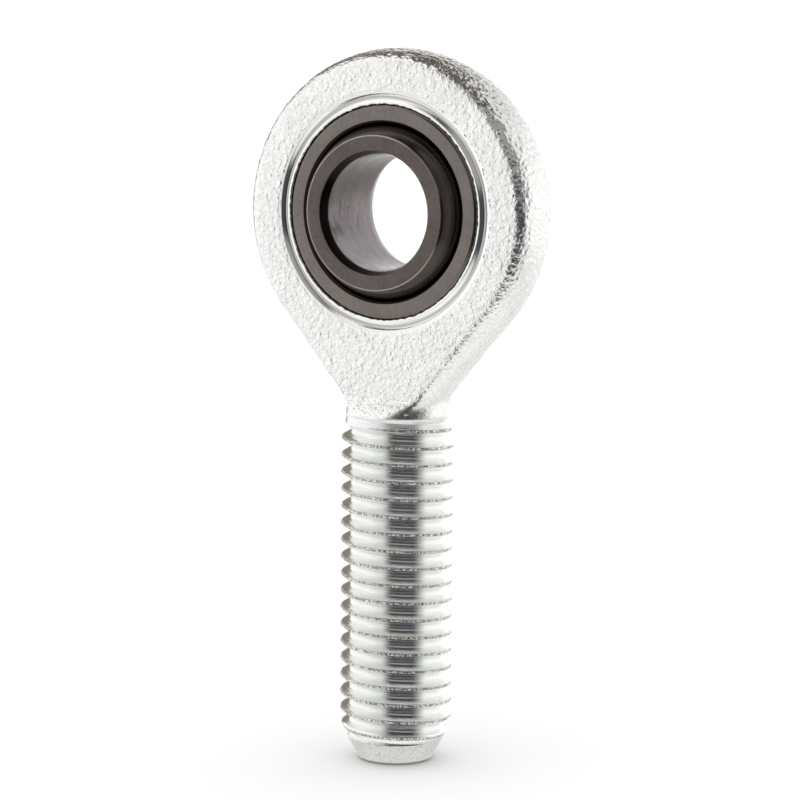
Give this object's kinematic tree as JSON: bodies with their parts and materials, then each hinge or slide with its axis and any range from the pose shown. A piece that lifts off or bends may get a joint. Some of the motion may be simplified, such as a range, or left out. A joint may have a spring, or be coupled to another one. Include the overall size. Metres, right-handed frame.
{
  "type": "rod end bearing",
  "caption": "Male rod end: forged eye with a threaded shank and a staked spherical plain bearing whose ball tilts to take a misaligned pin.",
  "frame": {"origin": "centre of the shank's end face; the ball's centre is 48.2 mm above it", "axes": "+Z along the shank towards the eye; +Y along the bore axis, front face towards -Y; +X completes the right-handed frame"},
  "size_m": [0.028, 0.0098, 0.0622],
  "materials": {
    "zinc": "bright zinc plate over a forged skin on the eye, smooth on the rolled thread",
    "phosphated_ring": "fine matt, phosphated ground steel",
    "phosphated_ball": "fine matt on the face, satin in the bore and on the ball, phosphated ground steel"
  },
  "bodies": {
    "frame": {"housing": "zinc", "outer_ring": "phosphated_ring"},
    "ball": {"inner_ring": "phosphated_ball"}
  },
  "joints": [
    {"name": "ball_tilt", "type": "hinge", "parent": "frame", "child": "ball", "pos_m": [0, 0, 0.0482], "axis": [0, 0, 1], "range_deg": [-12, 12]}
  ]
}
